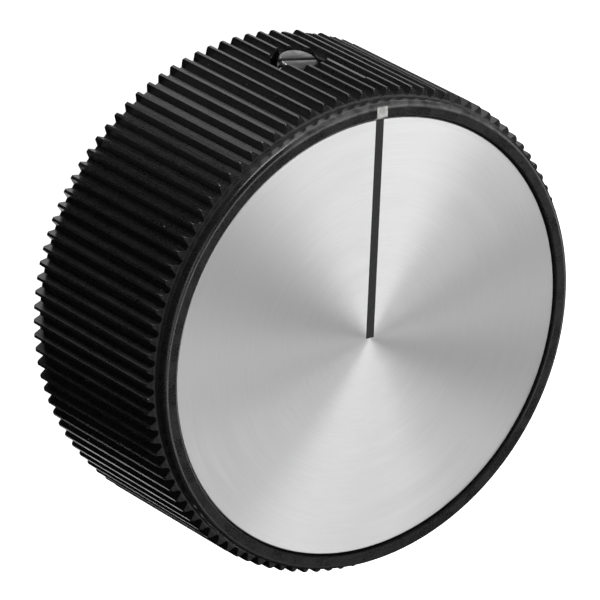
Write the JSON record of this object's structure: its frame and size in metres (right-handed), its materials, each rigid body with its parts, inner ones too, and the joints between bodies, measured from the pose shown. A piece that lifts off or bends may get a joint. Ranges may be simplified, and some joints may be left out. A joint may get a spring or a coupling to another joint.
{
  "type": "control knob",
  "caption": "Round fluted control knob with a spun aluminium dial, a black pointer line, a white index mark in the rim and a radial slotted set screw.",
  "frame": {"origin": "centre of the back face, on the shaft axis", "axes": "+Z along the shaft axis towards the dial, +Y towards the index mark, +X to the right when facing the dial"},
  "size_m": [0.0502, 0.0502, 0.0216],
  "materials": {
    "body": "satin black moulded phenolic",
    "inlay": "spun, fine concentric turning marks",
    "adhesive": "thin adhesive film",
    "pointer": "black filling paint",
    "index": "white filling paint",
    "bushing": "turned brass",
    "screw": "plain steel"
  },
  "bodies": {
    "root": {"knob_body": "body", "dial_inlay": "inlay", "inlay_adhesive": "adhesive", "pointer_fill": "pointer", "index_fill": "index", "hub_bushing": "bushing", "set_screw": "screw"}
  },
  "joints": []
}
